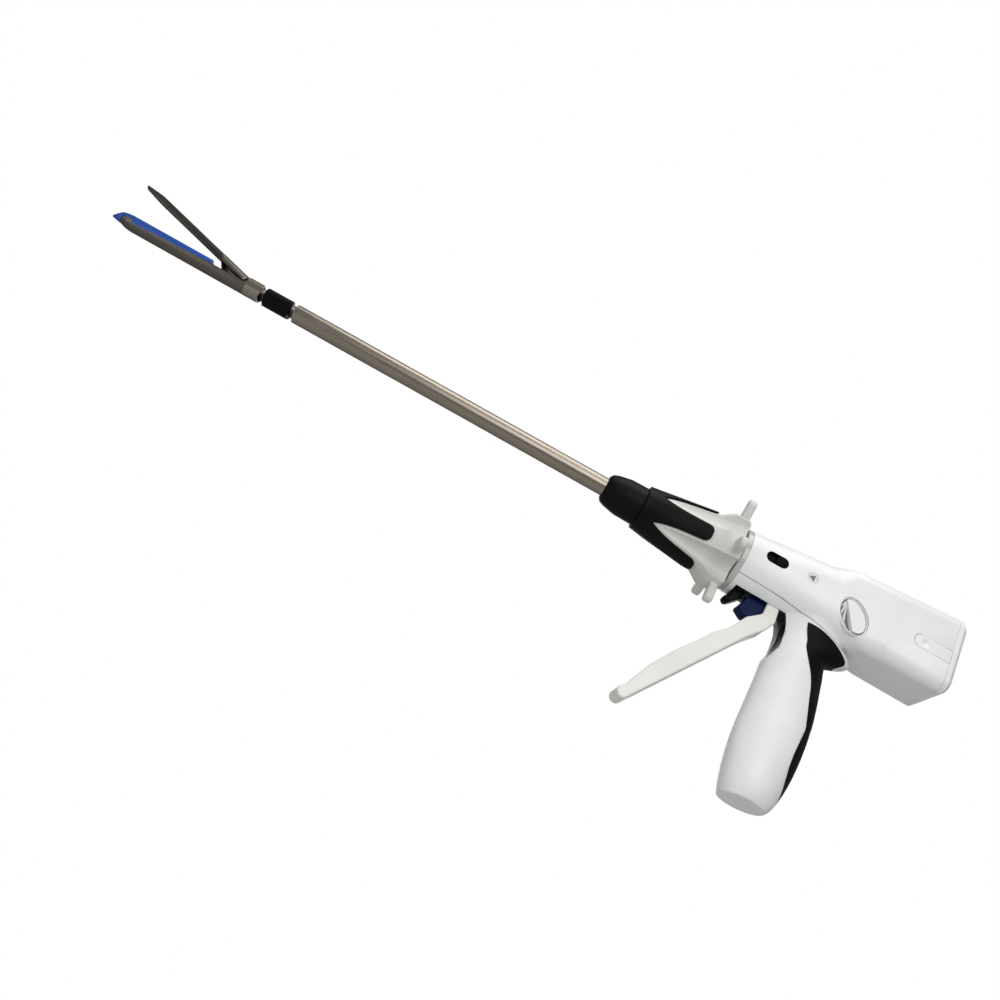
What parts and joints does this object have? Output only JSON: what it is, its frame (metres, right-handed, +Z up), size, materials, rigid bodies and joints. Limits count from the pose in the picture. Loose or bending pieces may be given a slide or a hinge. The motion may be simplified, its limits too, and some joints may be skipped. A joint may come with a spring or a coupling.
{
  "type": "powered endoscopic linear stapler",
  "caption": "Hand-held powered linear stapler with a pistol grip, a turning knob, a slim shaft with a bending neck and a jaw pair that clamps tissue.",
  "frame": {"origin": "on the shaft axis at the front face of the turning knob's nose, where a trocar sleeve stops", "axes": "+X along the shaft from the handle to the jaws, +Y to the user's left, +Z up, away from the grip"},
  "size_m": [0.6117, 0.0749, 0.1773],
  "materials": {
    "housing_white": "fine spark texture",
    "knob_ivory": "satin",
    "soft_black": "fine matt texture",
    "plain_black": "satin",
    "plain_grey": "satin",
    "collar_gloss": "gloss",
    "lamp_clear": "gloss",
    "tube_bronze": "satin, drawn along the shaft",
    "steel_dark": "dark satin",
    "steel": "satin",
    "aluminium": "satin",
    "board_green": "satin",
    "cartridge_blue": "satin",
    "trigger_ivory": "satin",
    "firing_blue": "semi-gloss"
  },
  "bodies": {
    "handle": {"barrel_shell_left": "housing_white", "barrel_shell_right": "housing_white", "grip_shell_left": "housing_white", "grip_shell_right": "housing_white", "rear_grip_pad": "soft_black", "front_collar": "collar_gloss", "throat_liner": "plain_black", "status_lamp": "lamp_clear", "switch_frame": "plain_black", "release_well_left": "housing_white", "release_well_right": "housing_white", "trigger_pin": "steel", "lock_pin": "steel", "housing_screws": "steel", "drive_motor": "steel", "gearbox": "steel_dark", "inner_frame": "aluminium", "circuit_board": "board_green", "contact_plate": "plain_black"},
    "lead_screw": {"lead_screw": "steel"},
    "drive_tube": {"drive_tube": "steel", "firing_rod": "steel"},
    "knob_and_shaft": {"turning_knob": "knob_ivory", "knob_cover": "soft_black", "shaft_tube": "tube_bronze", "shaft_clevis": "steel_dark", "shaft_pivot_pin": "steel"},
    "neck": {"neck_link": "steel_dark", "neck_sleeve": "plain_black"},
    "lower_jaw": {"jaw_collar": "tube_bronze", "jaw_clevis": "steel_dark", "jaw_pivot_pin": "steel", "cartridge_channel": "steel_dark", "staple_cartridge": "cartridge_blue", "anvil_pin": "steel"},
    "anvil": {"anvil": "steel_dark"},
    "knife": {"knife": "steel"},
    "closing_trigger": {"closing_trigger": "trigger_ivory"},
    "firing_trigger": {"firing_trigger": "firing_blue"},
    "trigger_lock": {"trigger_lock": "plain_black"},
    "reverse_switch": {"reverse_switch": "plain_black"},
    "release_button": {"release_button_left": "housing_white", "release_button_right": "housing_white", "release_bar": "plain_black"},
    "battery": {"battery_cap": "housing_white", "battery_cells": "plain_grey"},
    "battery_latch_left": {"battery_latch_left": "housing_white"},
    "battery_latch_right": {"battery_latch_right": "housing_white"}
  },
  "joints": [
    {"name": "knob_turn", "type": "hinge", "parent": "handle", "child": "knob_and_shaft", "pos_m": [-0.05, 0, 0], "axis": [1, 0, 0], "continuous": true},
    {"name": "neck_bend", "type": "hinge", "parent": "knob_and_shaft", "child": "neck", "pos_m": [0.2319, 0, 0], "axis": [0, 1, 0], "range_deg": [-22, 22]},
    {"name": "jaw_bend", "type": "hinge", "parent": "neck", "child": "lower_jaw", "pos_m": [0.2539, 0, 0], "axis": [0, 1, 0], "range_deg": [-22, 22]},
    {"name": "anvil_close", "type": "hinge", "parent": "lower_jaw", "child": "anvil", "pos_m": [0.2697, 0, 0.001], "axis": [0, 1, 0], "range_deg": [0, 16]},
    {"name": "knife_travel", "type": "slide", "parent": "lower_jaw", "child": "knife", "axis": [1, 0, 0], "range_m": [0, 0.058]},
    {"name": "drive_travel", "type": "slide", "parent": "handle", "child": "drive_tube", "axis": [1, 0, 0], "range_m": [0, 0.058]},
    {"name": "screw_turn", "type": "hinge", "parent": "handle", "child": "lead_screw", "pos_m": [-0.1, 0, 0], "axis": [1, 0, 0], "range_deg": [0, 1745]},
    {"name": "closing_squeeze", "type": "hinge", "parent": "handle", "child": "closing_trigger", "pos_m": [-0.129, 0, -0.016], "axis": [0, 1, 0], "range_deg": [0, 29], "stiffness_Nm_per_rad": 0.25, "springref_deg": -20.05},
    {"name": "firing_squeeze", "type": "hinge", "parent": "handle", "child": "firing_trigger", "pos_m": [-0.129, 0, -0.016], "axis": [0, 1, 0], "range_deg": [0, 12], "stiffness_Nm_per_rad": 0.08, "springref_deg": -11.46},
    {"name": "lock_squeeze", "type": "hinge", "parent": "handle", "child": "trigger_lock", "pos_m": [-0.106, 0, -0.0185], "axis": [0, 1, 0], "range_deg": [0, 14], "stiffness_Nm_per_rad": 0.05, "springref_deg": -11.46},
    {"name": "reverse_slide", "type": "slide", "parent": "handle", "child": "reverse_switch", "axis": [1, 0, 0], "range_m": [0, 0.006]},
    {"name": "release_press", "type": "slide", "parent": "handle", "child": "release_button", "axis": [0, 1, 0], "range_m": [-0.0025, 0.0025], "stiffness_N_per_m": 900},
    {"name": "battery_slide", "type": "slide", "parent": "handle", "child": "battery", "axis": [-1, 0, 0], "range_m": [0, 0.07]},
    {"name": "latch_left_press", "type": "hinge", "parent": "battery", "child": "battery_latch_left", "pos_m": [-0.241, 0.0238, 0.0012], "axis": [0, 0, -1], "range_deg": [0, 4], "stiffness_Nm_per_rad": 0.15, "springref_deg": -2.86},
    {"name": "latch_right_press", "type": "hinge", "parent": "battery", "child": "battery_latch_right", "pos_m": [-0.241, -0.0238, 0.0012], "axis": [0, 0, 1], "range_deg": [0, 4], "stiffness_Nm_per_rad": 0.15, "springref_deg": -2.86}
  ],
  "couplings": [
    {"joint": "jaw_bend", "follows": "neck_bend", "ratio": 1},
    {"joint": "anvil_close", "follows": "closing_squeeze", "ratio": 0.55172},
    {"joint": "knife_travel", "follows": "drive_travel", "ratio": 1},
    {"joint": "screw_turn", "follows": "drive_travel", "rad_per_m": 523.6}
  ]
}
